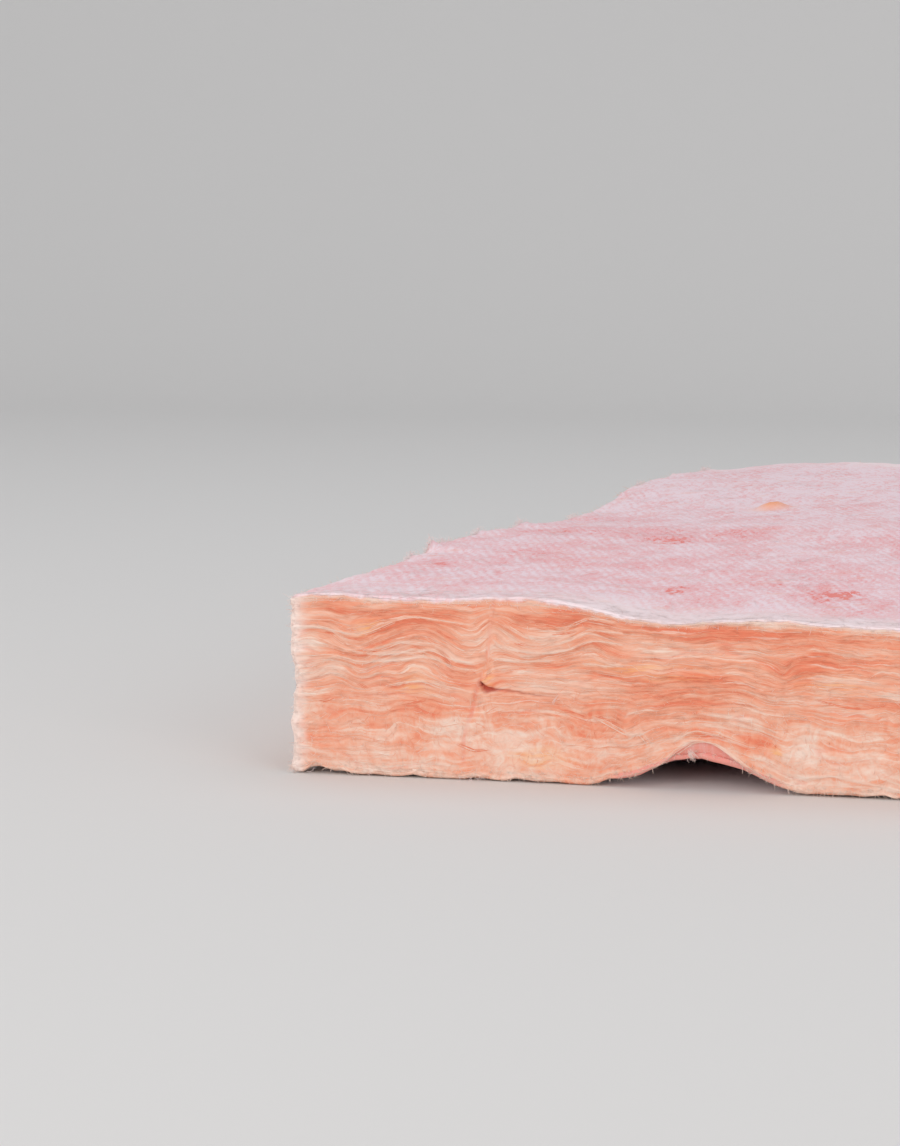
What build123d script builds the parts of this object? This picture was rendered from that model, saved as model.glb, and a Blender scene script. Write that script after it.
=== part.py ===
"""Glass wool insulation batt, as it lies on a level floor.

The batt is one slab of wool, laid down in layers, with a pressed skin above and below.
A blade cut its four upright faces, so they wander a little, and bundles of layers stand out of them.
The upper skin swells and sinks. One end face has what handling left in it: an arched hollow where
the lower skin has lifted, an upright slit from a blade, and a split between two layers beside it.

Millimetres. The origin is on the floor under the middle of the batt. +X runs across its width,
+Y along its length and away from the end with the split, and +Z up through its thickness.
"""

import os
from math import cos, exp, pi, sin

from build123d import *

# The slab
batt_length = 1160.0
batt_width = 430.0
batt_thickness = 90.0
skin_roll = 3.5  # radius at which the two skins roll over into the cut faces
corner_round = 6.0  # radius of the four upright corners

# The cut faces
blade_drift = 2.4  # how far a cut face wanders behind its flat plane
drift_pitch = 290.0  # from one wander to the next
layer_stand_out = 1.6  # how far a bundle of layers stands out past the next one
bundle_height = 27.0
outline_pitch = 72.0  # distance between the points of a cut face's outline

# The upper skin
skin_pitch = 35.0  # distance between the points of the skin's surface
skin_margin = 30.0  # how far that surface runs past the batt, so that it trims all of it
# Places where the skin stands proud or has sunk. Each one is its distance from the left face and
# from the near end, its reach across and along the batt, and its rise.
swells = (
    (30.0, 60.0, 90.0, 420.0, 5.5),
    (130.0, 0.0, 40.0, 120.0, 5.0),
    (200.0, 0.0, 45.0, 130.0, -4.5),
    (320.0, 90.0, 80.0, 190.0, -4.5),
    (0.0, 400.0, 100.0, 130.0, 2.0),
    (0.0, 650.0, 110.0, 150.0, -8.0),
    (225.0, 520.0, 110.0, 90.0, 3.0),
    (410.0, 420.0, 80.0, 160.0, 3.5),
    (370.0, 830.0, 110.0, 150.0, -4.0),
    (60.0, 890.0, 110.0, 90.0, 2.0),
    (0.0, 1160.0, 60.0, 120.0, -6.5),
    (140.0, 1130.0, 80.0, 110.0, 3.0),
)
spare_height = 18.0  # stock above the nominal thickness, which the skin trims

# The arched hollow under the near end
arch_from_left = 215.0  # its middle
arch_width = 130.0
arch_rise = 17.5
arch_depth = 125.0  # how far it reaches in under the batt
arch_sink = 1.5  # how far its outline starts under the floor, so that it meets the floor at an angle

# The slit in the near end
slit_width = 1.0
slit_depth = 5.0
slit_top_from_left = 110.0
slit_middle_from_left = 100.0
slit_middle_height = 48.0
slit_foot_from_left = 90.0
slit_foot_height = 8.0

# The split between two layers, from the middle of the slit towards the right
split_length = 48.0
split_mouth = 4.5  # its height where it leaves the slit
split_fall = 4.5  # how much lower its far end lies
split_depth = 14.0
split_narrowing = 0.3  # its size at the bottom, as a share of its size at the face

left = -batt_width / 2
near = -batt_length / 2
mean_drift = (blade_drift + layer_stand_out) / 2
stock_height = batt_thickness + spare_height
bundles = round(stock_height / bundle_height)


def skin_height(x, y):
    """Height of the upper skin over the point x, y of the floor."""
    height = batt_thickness
    for from_left, from_near, across, along, rise in swells:
        away = ((x - left - from_left) / across) ** 2 + ((y - near - from_near) / along) ** 2
        height += rise * exp(-away)
    return height


def drift(distance, bundle, face):
    """How far a cut face lies behind its flat plane, at a distance along it and at one bundle."""
    wander = 0.5 - 0.5 * cos(2 * pi * distance / drift_pitch + 1.9 * face + 0.35 * bundle)
    stand_out = 0.5 + 0.5 * sin(2.4 * bundle + 1.3 * face)
    return blade_drift * wander + layer_stand_out * stand_out


def cut_line(start, end, bundle, face):
    """One side of the outline at a bundle of layers, as points from corner to corner."""
    run = end - start
    inward = Vector(-run.Y, run.X).normalized()
    spans = round(run.length / outline_pitch)
    points = [start]
    for step in range(1, spans):
        behind = drift(run.length * step / spans, bundle, face) - mean_drift
        points.append(start + run * (step / spans) + inward * behind)
    return points + [end]


def arch_height(across, fade):
    """Height of the hollow's roof, at a distance across from its middle."""
    bell = 0.5 + 0.5 * cos(2 * pi * across / arch_width)
    return (arch_rise + arch_sink) * fade * bell - arch_sink


with BuildPart() as glass_wool_batt:
    # Cut faces: the outline wanders, and changes from one bundle of layers to the next
    corner_x = -left - mean_drift
    corner_y = -near - mean_drift
    corners = [
        Vector(-corner_x, -corner_y),
        Vector(corner_x, -corner_y),
        Vector(corner_x, corner_y),
        Vector(-corner_x, corner_y),
    ]
    for bundle in range(bundles + 1):
        with BuildSketch(Plane.XY.offset(bundle * stock_height / bundles)):
            with BuildLine():
                for face in range(4):
                    Spline(*cut_line(corners[face], corners[(face + 1) % 4], bundle, face))
            make_face()
            fillet(vertices(), corner_round)
    loft()

    # Upper skin: a surface through the swells, with all the stock above it trimmed off
    columns = round((batt_width + 2 * skin_margin) / skin_pitch)
    rows = round((batt_length + 2 * skin_margin) / skin_pitch)
    xs = [(left - skin_margin) * (1 - 2 * i / columns) for i in range(columns + 1)]
    ys = [(near - skin_margin) * (1 - 2 * i / rows) for i in range(rows + 1)]
    upper_skin = Face.make_surface_from_array_of_points(
        [[Vector(x, y, skin_height(x, y)) for y in ys] for x in xs]
    )
    extrude(upper_skin, amount=stock_height, dir=(0, 0, 1), mode=Mode.SUBTRACT)

    # Both skins roll over into the cut faces
    lower_edges = faces().sort_by(Axis.Z)[0].edges()
    upper_edges = faces().sort_by(Axis.Z)[-1].edges()
    fillet(lower_edges, skin_roll)
    fillet(upper_edges, skin_roll)

    # Arched hollow: highest at the near end, sinking to the floor further in under the batt
    for part_way in (-0.1, 0.2, 0.5, 0.8, 1.0):
        with BuildSketch(Plane.XZ.offset(-near - part_way * arch_depth)):
            with BuildLine():
                fade = 0.5 + 0.5 * cos(pi * max(part_way, 0))
                steps = [arch_width * (i / 8 - 0.5) for i in range(9)]
                roof = [(left + arch_from_left + a, arch_height(a, fade)) for a in steps]
                Spline(*roof)
                Polyline(roof[-1], (roof[-1][0], -arch_rise), (roof[0][0], -arch_rise), roof[0])
            make_face()
    loft(mode=Mode.SUBTRACT)

    # Slit, through the layers that stand out and on into the wool
    with BuildSketch(Plane.XZ.offset(-near)):
        with BuildLine():
            one_side = [
                (left + slit_top_from_left, stock_height),
                (left + slit_middle_from_left, slit_middle_height),
                (left + slit_foot_from_left, slit_foot_height),
            ]
            other_side = [(x + slit_width, z) for x, z in one_side]
            Spline(*one_side)
            Spline(*other_side)
            Line(one_side[0], other_side[0])
            Line(one_side[-1], other_side[-1])
        make_face()
    extrude(amount=slit_depth + mean_drift, both=True, mode=Mode.SUBTRACT)

    # Split: a wedge that opens at the slit and narrows towards its far end and into the wool
    mouth_x = left + slit_middle_from_left
    for deep, share in ((-layer_stand_out, 1.0), (split_depth, split_narrowing)):
        with BuildSketch(Plane.XZ.offset(-near - deep)):
            with BuildLine():
                Polyline(
                    (mouth_x, slit_middle_height + split_mouth / 2 * share),
                    (mouth_x, slit_middle_height - split_mouth / 2 * share),
                    (mouth_x + split_length * share, slit_middle_height - split_fall * share),
                    close=True,
                )
            make_face()
    loft(mode=Mode.SUBTRACT)

glass_wool_batt.part.label = "glass_wool_batt"
os.makedirs("parts", exist_ok=True)
export_step(glass_wool_batt.part, "parts/glass_wool_batt.step")
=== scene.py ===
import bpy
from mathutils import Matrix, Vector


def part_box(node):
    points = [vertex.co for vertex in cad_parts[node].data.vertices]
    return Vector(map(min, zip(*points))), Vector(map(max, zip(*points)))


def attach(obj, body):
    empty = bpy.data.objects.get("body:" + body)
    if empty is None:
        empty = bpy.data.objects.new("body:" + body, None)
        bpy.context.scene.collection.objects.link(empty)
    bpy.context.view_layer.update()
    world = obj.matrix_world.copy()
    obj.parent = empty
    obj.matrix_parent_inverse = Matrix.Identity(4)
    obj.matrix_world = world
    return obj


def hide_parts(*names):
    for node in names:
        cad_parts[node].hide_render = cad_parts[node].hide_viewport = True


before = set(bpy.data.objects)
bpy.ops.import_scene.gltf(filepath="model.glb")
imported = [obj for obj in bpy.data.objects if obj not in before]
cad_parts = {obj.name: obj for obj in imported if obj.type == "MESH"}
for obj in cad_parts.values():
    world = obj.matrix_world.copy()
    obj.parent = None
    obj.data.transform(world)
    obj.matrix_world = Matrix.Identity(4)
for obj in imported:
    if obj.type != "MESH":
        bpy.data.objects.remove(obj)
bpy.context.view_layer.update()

# Looks of a glass wool batt: one slab of layered wool, and the loose fibres on its faces.
# Shapes are worked out in millimetres, in the frame of the solid, and made in metres.
# Many places are given by s, the distance from the left face.

from itertools import product
from math import radians

import bpy
import numpy as np
from mathutils import Vector
from mathutils.bvhtree import BVHTree

MM = 0.001
NODE = "glass_wool_batt"
chance = np.random.default_rng(4)
uniform, normal = chance.uniform, chance.normal
low, high = (np.array(corner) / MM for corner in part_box(NODE))
HALF_X = (high[0] - low[0]) / 2
HALF_Y = (high[1] - low[1]) / 2
THICK = 90.0  # the nominal thickness
ROLL = 4.0  # radius of the plain box's edges, before it is laid over the solid
PLANES = {"near": -HALF_Y, "far": HALF_Y, "left": -HALF_X, "right": HALF_X}  # of the cut faces
ENDS = ("near", "far")


def unit(vectors):
    """Vectors brought to a length of 1."""
    return vectors / np.maximum(np.linalg.norm(vectors, axis=-1, keepdims=True), 1e-9)


# Noise

NOISE_CELLS = 256  # the noise repeats after so many
NOISE_SHIFT = 37  # from the noise of one kind to that of the next
NOISE_GAIN = 1.6  # brings the noise to about -1 to 1
order = chance.permutation(NOISE_CELLS)
slopes = unit(normal(size=(NOISE_CELLS, 3)))

# Each grain is made of swells: height, reach in x, in y and up or through the layers (for a flat grain
# its place in the noise), and kind of noise
GRAINS = {
    "cloud_foot": ((5, 22, 22, 15, 4),),
    "cloud_banks": ((1, 130, 130, 34, 5),),
    "long_waves": ((4.2, 62, 70, 36, 1),),
    "short_waves": ((1.7, 22, 30, 13, 2),),
    "swirls": ((3.8, 17, 20, 11, 17),),
    "ripples": ((1, 9.5, 12, 8, 3), (0.4, 4.6, 6, 4, 31)),
    "slit_line": ((0.5, 1, 7, 0, 5),),
    "slit_depth": ((0.5, 1, 8, 3, 6),),
    "bundles": ((1, 48, 48, 6.5, 7),),
    "sheets": ((1, 30, 30, 2.6, 8),),
    "strands": ((1, 15, 15, 1.25, 9),),
    "clouds": ((1, 17, 17, 12, 10), (0.5, 7, 7, 6, 18)),
    "seams": ((1, 42, 42, 8.5, 11),),
    "seam_gaps": ((1, 26, 26, 14, 12),),
    "skin": ((0.9, 34, 46, 0.3, 13), (0.5, 13, 17, 0.6, 14), (0.22, 4.5, 5.5, 0.1, 15)),
    "skin_border": ((0.25, 9, 9, 0.4, 28), (0.15, 3, 3, 0.4, 29)),
    "ragged_edge": ((1.3, 40, 40, 4.5, 16), (0.9, 30, 30, 1.7, 19), (0.7, 8, 8, 3.1, 33)),
    "sag": ((0.5, 4, 6, 0.3, 32),),
    "torn": ((0.5, 6, 6, 0.2, 20),),
    "crumbs": ((0.9, 8, 8, 0.5, 25), (0.5, 3.2, 3.2, 0.5, 30)),
    "frayed": ((1, 13, 13, 0.7, 26), (0.45, 4.5, 4.5, 0.4, 27)),
    "depth": ((0.34, 90, 90, 17, 21), (0.22, 40, 40, 7, 22)),
    "pale_border": ((1.5, 12, 12, 0.3, 35),),
    "veins": ((1, 60, 60, 6, 23),),
    "corner_glow": ((3.5, 9, 9, 5, 24),),
    "skin_glow_reach": ((14, 40, 40, 0.5, 24),),
    "edge_glow": ((1, 11, 11, 0.4, 34),),
}


def noise(x, y, z, kind):
    """Smooth noise, about -1 to 1, with one swell in each unit of length."""
    spot = np.broadcast_arrays(x, y, z)
    cell = [np.floor(v).astype(int) for v in spot]
    part = [v - c for v, c in zip(spot, cell)]
    ease = [p * p * p * (p * (p * 6 - 15) + 10) for p in part]
    total = 0
    for corner in product((0, 1), repeat=3):
        pick, weight = NOISE_SHIFT * kind, 1
        for n, end in enumerate(corner):
            pick = order[(pick + cell[n] + end) % NOISE_CELLS]
            weight = weight * (ease[n] if end else 1 - ease[n])
        total = total + weight * sum(slopes[pick, n] * (part[n] - end) for n, end in enumerate(corner))
    return total * NOISE_GAIN


def grain(name, x, y, z=None):
    """One of the grains of the wool; a flat one takes no z."""
    swells = GRAINS[name]
    return sum(
        much * noise(x / a, y / b, c if z is None else z / c, kind) for much, a, b, c, kind in swells
    )


def step(low_end, high_end, value):
    """0 below the low end, 1 above the high end, and smooth between them."""
    t = np.clip((value - low_end) / (high_end - low_end), 0, 1)
    return t * t * (3 - 2 * t)


def bell(value, reach):
    """1 where the value is 0, falling off smoothly on both sides."""
    return np.exp(-((value / reach) ** 2))


def fade(distance, reach):
    """1 up to a distance of 0, falling off past it."""
    return np.exp(-np.maximum(distance, 0) / reach)


def blobs(u, v, patches):
    """The sum of soft round patches: place u, place v, reach u, reach v and strength of each."""
    return sum(much * np.exp(-(((u - a) / c) ** 2) - ((v - b) / d) ** 2) for a, b, c, d, much in patches)


# The solid's surfaces, surveyed with rays

survey_tree = BVHTree.FromObject(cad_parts[NODE], bpy.context.evaluated_depsgraph_get())


def survey(us, vs, axis, start, limits):
    """Reads the solid with rays along an axis, and returns a function that reads between them."""
    grid = np.empty((len(us), len(vs)))
    way = -np.sign(start) * np.eye(3)[axis]
    for i, u in enumerate(us):
        for j, v in enumerate(vs):
            spot = np.insert((u, v), axis, start)
            hit = survey_tree.ray_cast(Vector(spot) * MM, Vector(way))[0]
            grid[i, j] = limits[1] if hit is None else hit[axis] / MM
    grid = np.clip(grid, *limits)

    def read(u, v):
        iu = np.clip(np.interp(u, us, np.arange(len(us))), 0, len(us) - 1.001)
        iv = np.clip(np.interp(v, vs, np.arange(len(vs))), 0, len(vs) - 1.001)
        i, j = iu.astype(int), iv.astype(int)
        fu, fv = iu - i, iv - j
        first = grid[i, j] * (1 - fu) + grid[i + 1, j] * fu
        second = grid[i, j + 1] * (1 - fu) + grid[i + 1, j + 1] * fu
        return first * (1 - fv) + second * fv

    return read


def about(plane):
    """The limits of a cut face: 1 mm outside its flat plane and 5 mm inside it."""
    return sorted((plane + np.sign(plane), plane - 5 * np.sign(plane)))


across = np.linspace(-HALF_X + 8, HALF_X - 8, 110)
along = np.linspace(-HALF_Y + 12, HALF_Y - 12, 150)
levels = np.linspace(24, 76, 7)
upper, under = survey(across, along, 2, 200, (60, 120)), survey(across, along, 2, -50, (0, 30))
near_face, far_face = (survey(across, levels, 1, 700 * n, about(n * HALF_Y)) for n in (-1, 1))
left_face, right_face = (survey(along, levels, 0, 300 * n, about(n * HALF_X)) for n in (-1, 1))

LOWER_PULL, LOWER_REACH = 0.8, 4  # how much tighter the lower edges are, and how far in
FACE_REACH = 30  # how far in from a cut face its wander still moves the wool


def place(x, y, z):
    """Points of a plain box, rolled at its edges and laid over the solid, and their outward directions."""
    p = np.stack(np.broadcast_arrays(x, y, z - THICK / 2), -1).astype(float)
    inner = np.array([HALF_X, HALF_Y, THICK / 2]) - ROLL
    q = np.clip(p, -inner, inner)
    out = unit(p - q)
    p = q + ROLL * out
    lower = p[..., 2] < ROLL - THICK / 2
    for n, half in ((0, HALF_X), (1, HALF_Y)):
        gap = half - np.abs(p[..., n])
        p[..., n] += np.sign(p[..., n]) * lower * LOWER_PULL * gap * np.exp(-gap / LOWER_REACH)
    x, y, share = p[..., 0], p[..., 1], p[..., 2] / THICK + 0.5
    bottom, top = under(x, y), upper(x, y)
    z = bottom + share * (top - bottom)
    gaps = (x + HALF_X, HALF_X - x, y + HALF_Y, HALF_Y - y)
    by = [np.clip(1 - gap / FACE_REACH, 0, 1) ** 2 for gap in gaps]
    new_x = x + by[0] * (left_face(y, z) + HALF_X) + by[1] * (right_face(y, z) - HALF_X)
    new_y = y + by[2] * (near_face(x, z) + HALF_Y) + by[3] * (far_face(x, z) - HALF_Y)
    return np.stack([new_x, new_y, z], -1), out


# How the layers run

# Waves of the layers at the near end: s, height, reach across and up, and how far they lift the layers
near_waves = (
    (13, 72, 9, 12, 2), (32, 68, 11, 12, -5), (68, 74, 17, 15, 4.5), (22, 55, 8, 8, 4.5),
    (36, 51, 8, 8, -2.5), (68, 58, 11, 12, 2.5), (93, 66, 10, 20, -3.5), (107, 80, 5, 12, 2.5),
    (128, 70, 14, 14, -4), (160, 78, 10, 12, 4.5), (184, 74, 12, 10, 1.5), (60, 34, 16, 10, 3),
    (84, 27, 12, 12, -3), (132, 38, 20, 9, 3), (176, 28, 9, 9, -5), (240, 50, 12, 12, 2),
    (259, 60, 5, 8, -4), (275, 64, 15, 10, 1.8), (300, 30, 18, 12, -3),
)

# Tables of two rows: where, and how much
# The slit of the near end: its s, by height
slit_line = (
    (6, 13, 21, 26, 33, 42, 51, 55, 66, 78, 90),
    (91, 91, 91, 92, 95, 97, 99, 101, 104, 105, 107),
)
# The split beside it, by s: the height of its line, its half height and its share of its depth
split_line = (
    (100, 101, 103, 108, 116, 123, 129, 134, 141, 148),
    (51, 49.5, 47.8, 47.9, 47.6, 46.7, 46, 45.2, 44.9, 44.2),
)
split_half = (
    (99.6, 100.5, 103, 106, 109, 114, 130, 142, 147),
    (0, 2.6, 2.6, 1.5, 0.8, 0.7, 0.6, 0.4, 0),
)
split_depth = (
    (100, 106, 112, 147),
    (1, 0.9, 0.5, 0.25),
)

# The arched hollow in the near end: the height of its rim, and how far its roof sags behind it, by s
hollow_rim = (
    (172, 189, 198, 205, 212, 221, 230, 237, 244, 252),
    (0, 9.9, 14.8, 21.3, 25, 25.4, 20.6, 15.4, 10.1, 6),
)
roof_sag = (
    (172, 184, 193, 201, 216, 234, 245),
    (0, 2.9, 4.2, 2.8, 2, 0.9, 0),
)

# How cloudy the near end's foot is, by s, and the heights at which that starts and is full
foot_cloud = (
    (0, 40, 70, 170, 200, 240, 330, 430),
    (0.8, 0.8, 1, 1, 0.5, 1, 1, 0.8),
)
CLOUD_TOP, CLOUD_FULL = 54, 30

NEAR_REACH, WAVE_REACH = 60, 70  # how far in its looks and its waves fade out
WAVES_END, LOOSE_FROM = 290, 340  # between them, by s, the waves above give way to loose ones
SLIT_DROP, DROP_HEIGHT = 5, 58  # how far the layers drop past the slit, most at this height
HOLLOW_REACH, SWELL_REACH = 24, 36  # how far the layers follow the hollow's roof and the upper skin
FOLD_WIDTH, FOLD_SHADE, FOLD_FAR = 0.85, 1.25, 4  # its reach, its shade's drop, and where it ends

# Folds of single layers on the near end, each a line of points (s, height)
pale_folds = (
    ((4, 77), (12, 78), (19, 77), (26, 75), (34, 74), (40, 76), (46, 79), (52, 82), (60, 84.5),
     (68, 85), (76, 83.5), (85, 82.5), (96, 81)),
    ((28, 66), (37, 65), (49, 64.5), (58, 66), (65, 65.5), (72, 68), (76, 67.5), (83, 63.5), (97, 61)),
    ((34, 67), (44, 67), (50, 69.5), (56, 71.5), (65, 71), (74, 70.5), (80, 67.5), (87, 62)),
    ((3, 51.5), (8, 55), (13, 59), (18, 61), (23, 63), (28, 62), (32, 60), (38, 60), (44, 61.5),
     (50, 61), (61, 62.5), (69, 64.5), (77, 63), (85, 58.5), (97, 58)),
    ((15, 52), (19, 54), (24, 53.5), (28, 51.5)),
    ((50, 48), (60, 50.5), (69, 51.5), (78, 50)),
    ((114, 81.5), (118, 79), (123, 76.5), (128, 75.5)),
    ((107, 74), (111, 70.5), (120, 69), (131, 68), (139, 68.5), (147, 70), (153, 73), (159, 75.5),
     (167, 74.5), (175, 73.5)),
    ((145, 81), (151, 84), (157, 86.5), (164, 86), (170, 84.5)),
    ((150, 76), (154, 78), (160, 81), (167, 80), (175, 79.5)),
    ((107, 64.5), (115, 63.5), (127, 63.5), (139, 64.5)),
    ((155, 63), (161, 63.2), (167, 62), (174, 63)),
    ((162, 36), (171, 31.5), (180, 27), (186, 28.5), (189, 25), (191, 22)),
    ((203, 25), (209, 29), (214, 31), (221, 30), (228, 28.5)),
    ((178, 6.5), (189, 10), (198, 15), (205, 21.5), (212, 25.7), (221, 26), (230, 21), (237, 15.5),
     (244, 10), (252, 6), (263, 4.3)),
    ((216, 40), (229, 38.5), (243, 37)),
    ((267, 8), (284, 11), (300, 8), (319, 3.5)),
)
deep_folds = (
    ((28, 72.7), (33, 71.8), (39, 72.8)),
    ((17, 75.3), (22, 74.2)),
    ((77, 77.5), (80, 75.4), (86, 73.2)),
    ((15, 38.4), (21, 40.5)),
    ((34, 49), (39, 46.2)),
    ((62, 39.2), (69, 41)),
    ((138, 78), (145, 78.6), (149, 79.6)),
    ((119, 72.5), (125, 71.7)),
    ((143, 38.4), (149, 37.9), (155, 35.6)),
    ((162, 36.4), (168, 34.4), (175, 31)),
    ((87, 18.4), (92, 16.9), (96, 15.4), (102, 16.3)),
    ((276, 49.2), (289, 46.2), (300, 45), (311, 47.8)),
)


def cloudy(x, y, z):
    """Where the wool is swirled like cloud, with few layers to see, from 0 to 1."""
    at_near = bell(y + HALF_Y, NEAR_REACH)
    foot = step(CLOUD_TOP, CLOUD_FULL, z - grain("cloud_foot", x, y, z))
    there = foot * np.interp(x + HALF_X, *foot_cloud)
    elsewhere = 0.8 * step(0, 0.5, grain("cloud_banks", x, y, z))
    return at_near * there + (1 - at_near) * elsewhere


def rise(x, y, z):
    """How far the layers are lifted at a point of the batt."""
    s = x + HALF_X
    at_near = bell(y + HALF_Y, WAVE_REACH)
    past_slit = s - np.interp(z, *slit_line)
    drop = SLIT_DROP * fade(past_slit, 5) * step(-0.3, 0.5, past_slit)
    drop = drop * bell(z - DROP_HEIGHT, 11) * bell(y + HALF_Y, 12)
    calm = 0.6 * at_near * (1 - step(WAVES_END, LOOSE_FROM, s))
    waves = blobs(s, z, near_waves) * at_near - drop + grain("long_waves", x, y, z) * (1 - calm)
    waves = waves + grain("short_waves", x, y, z) + grain("swirls", x, y, z) * cloudy(x, y, z)
    skin_gap = np.minimum(z - under(x, y), upper(x, y) - z)
    return waves * step(-2, 14, skin_gap) + grain("ripples", x, y, z) * step(0, 5, skin_gap)


def lift(x, y, z):
    """How far a layer that would lie flat in a plain slab is lifted at a point of this one."""
    bottom, top = under(x, y), upper(x, y)
    hollow = bottom * fade(z - bottom, HOLLOW_REACH)
    swell = (top - THICK) * fade(top - z, SWELL_REACH)
    return hollow + swell + rise(x, y, z)


def height_of(x, y, layer):
    """The height at which a layer runs."""
    z = layer
    for _ in range(4):
        z = layer + lift(x, y, z)
    return z


def box_height(x, y, z):
    """The height on the plain box that place() turns into the height z."""
    bottom, top = under(x, y), upper(x, y)
    return np.clip((z - bottom) / (top - bottom), 0, 1) * THICK


def slit_and_split(s, z):
    """How deep the slit and the split go at a point of the near end, 0 to 1 of each one's own depth."""
    gap = np.abs(s - np.interp(z, *slit_line) - grain("slit_line", 0, z))
    slit = (1 - step(0.3, 1.6, gap)) * step(6, 11, z) * (0.6 + grain("slit_depth", 0, z))
    slit = slit * (1 - 0.35 * step(56, 66, z)) * (1 - 0.4 * bell(z - 57, 4))
    half = np.interp(s, *split_half)
    away = np.abs(z - np.interp(s, *split_line)) / np.maximum(half, 0.02)
    split = np.where(half > 0.01, 1 - step(0.35, 1, away), 0)
    return np.clip(slit, 0, 1), split * np.interp(s, *split_depth)


def fold_ridge(s, z, there):
    """How much of a pale fold, and of the shade under it, is at those points that are there, 0 to 1."""
    ridge, shade = np.zeros_like(s), np.zeros_like(s)
    for line in pale_folds:
        line = np.array(line, float)
        first, last = line.min(0) - FOLD_FAR, line.max(0) + FOLD_FAR
        close = there & (s > first[0]) & (s < last[0]) & (z > first[1]) & (z < last[1])
        at, run = np.stack([s[close], z[close]], -1)[:, None], np.diff(line, axis=0)
        for drop, kept in ((0, ridge), (FOLD_SHADE, shade)):
            away = at - line[:-1] + (0, drop)
            t = np.clip(np.sum(away * run, -1) / np.sum(run * run, -1), 0, 1)
            gap = np.linalg.norm(away - t[..., None] * run, axis=-1).min(1)
            kept[close] = np.maximum(kept[close], bell(gap, FOLD_WIDTH))
    return ridge, shade * (1 - ridge)


# The shape of the faces

# The flock on the upper skin: its place, its reach and its height
FLOCK_X, FLOCK_Y, FLOCK_WIDE, FLOCK_LONG, FLOCK_TALL = -77, 121, 9.5, 13, 4.6
# Where the wool is torn up along the upper edge of the left side: place along it, height and run
lumps = (
    (-368, 4.5, 9), (-328, 10, 46), (-212, 5, 28), (-108, 6, 26), (60, 3, 30), (214, 4, 40),
    (420, 3, 30),
)
# How far the left corner of the near end stands out, by height
corner_flare = (
    (0, 3, 8, 14, 34, 42, 50, 56, 59, 63, 70, 78, 84, 90),
    (7, 6.6, 5.9, 6.1, 6, 4.9, 3.9, 3.2, 6, 6.5, 7.5, 8.2, 6.8, 7.6),
)
INSET = 0.9  # how far the cut faces lie behind the solid's, so that their relief stays near it
SPLIT_DEPTH, RIM_DEPTH, RIM_LIP = 6, 4.6, 0.7
BROW_PLACE, BROW_HEIGHT = 245, 2.2  # where the upper skin is raised over the near end, by s
NOTCH_PLACE, NOTCH_HEIGHT = 12, 4.6  # the gap under the near end's foot, by s
FRAY_HEIGHT = 2


def cut_relief(x, y, z, layer):
    """How far the wool of a cut face stands out, its crevices from 0 to 1, and the height of its fine
    layers, which the colours turn into painted shade.
    """
    soft = cloudy(x, y, z)
    bundle, sheet, strand = (grain(name, x, y, layer) for name in ("bundles", "sheets", "strands"))
    seam = step(0.87, 0.985, 1 - np.abs(grain("seams", x, y, layer)))
    seam = seam * step(0.05, 0.5, grain("seam_gaps", x, y, layer)) * (1 - 0.5 * soft)
    stand = 0.6 * bundle * (1 - 0.4 * soft) + (0.23 * sheet + 0.15 * strand) * (1 - 0.85 * soft)
    stand = stand + (0.45 + 0.35 * soft) * grain("clouds", x, y, z) - 0.5 * seam
    return stand, seam, 0.6 * sheet + 0.4 * strand


def skin_relief(x, y):
    """How far the wool of a skin stands out."""
    wide, long = ((x - FLOCK_X) / FLOCK_WIDE) ** 4, ((y - FLOCK_Y) / FLOCK_LONG) ** 4
    return FLOCK_TALL * np.exp(-wide - long) + grain("skin", x, y)


def handling(x, y, z, up, outer, roof):
    """How far handling has moved the wool: to the left at the left corner, and up or down elsewhere."""
    s, from_near = x + HALF_X, y + HALF_Y
    flare = np.interp(z, *corner_flare) * step(40, 4, s) * np.exp(-s / 10)
    sag = np.interp(s, *roof_sag) * fade(from_near, 22)
    sag = sag + step(2, 8, roof) * grain("sag", x, y) * fade(from_near, 5)
    torn = sum(tall * step(a - 4, a + 4, y) * fade(y - a, run) for a, tall, run in lumps)
    torn = torn * np.exp(-s / 17) * (0.75 + grain("torn", x, y))
    brow = BROW_HEIGHT * bell(s - BROW_PLACE, 62) * fade(from_near, 26)
    crumbs = grain("crumbs", x, y) * step(0.1, 0.7, up) * np.exp(-outer / 5)
    fray = FRAY_HEIGHT * step(-0.4, 0.8, grain("frayed", x, y))
    fray = fray + NOTCH_HEIGHT * bell(s - NOTCH_PLACE, 3) * step(40, 20, from_near)
    above = (torn + brow) * step(30, THICK, z) + crumbs
    return flare * fade(from_near, 45), above + (fray * step(24, 12, outer) - sag) * step(9, 0, z - roof)


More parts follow.
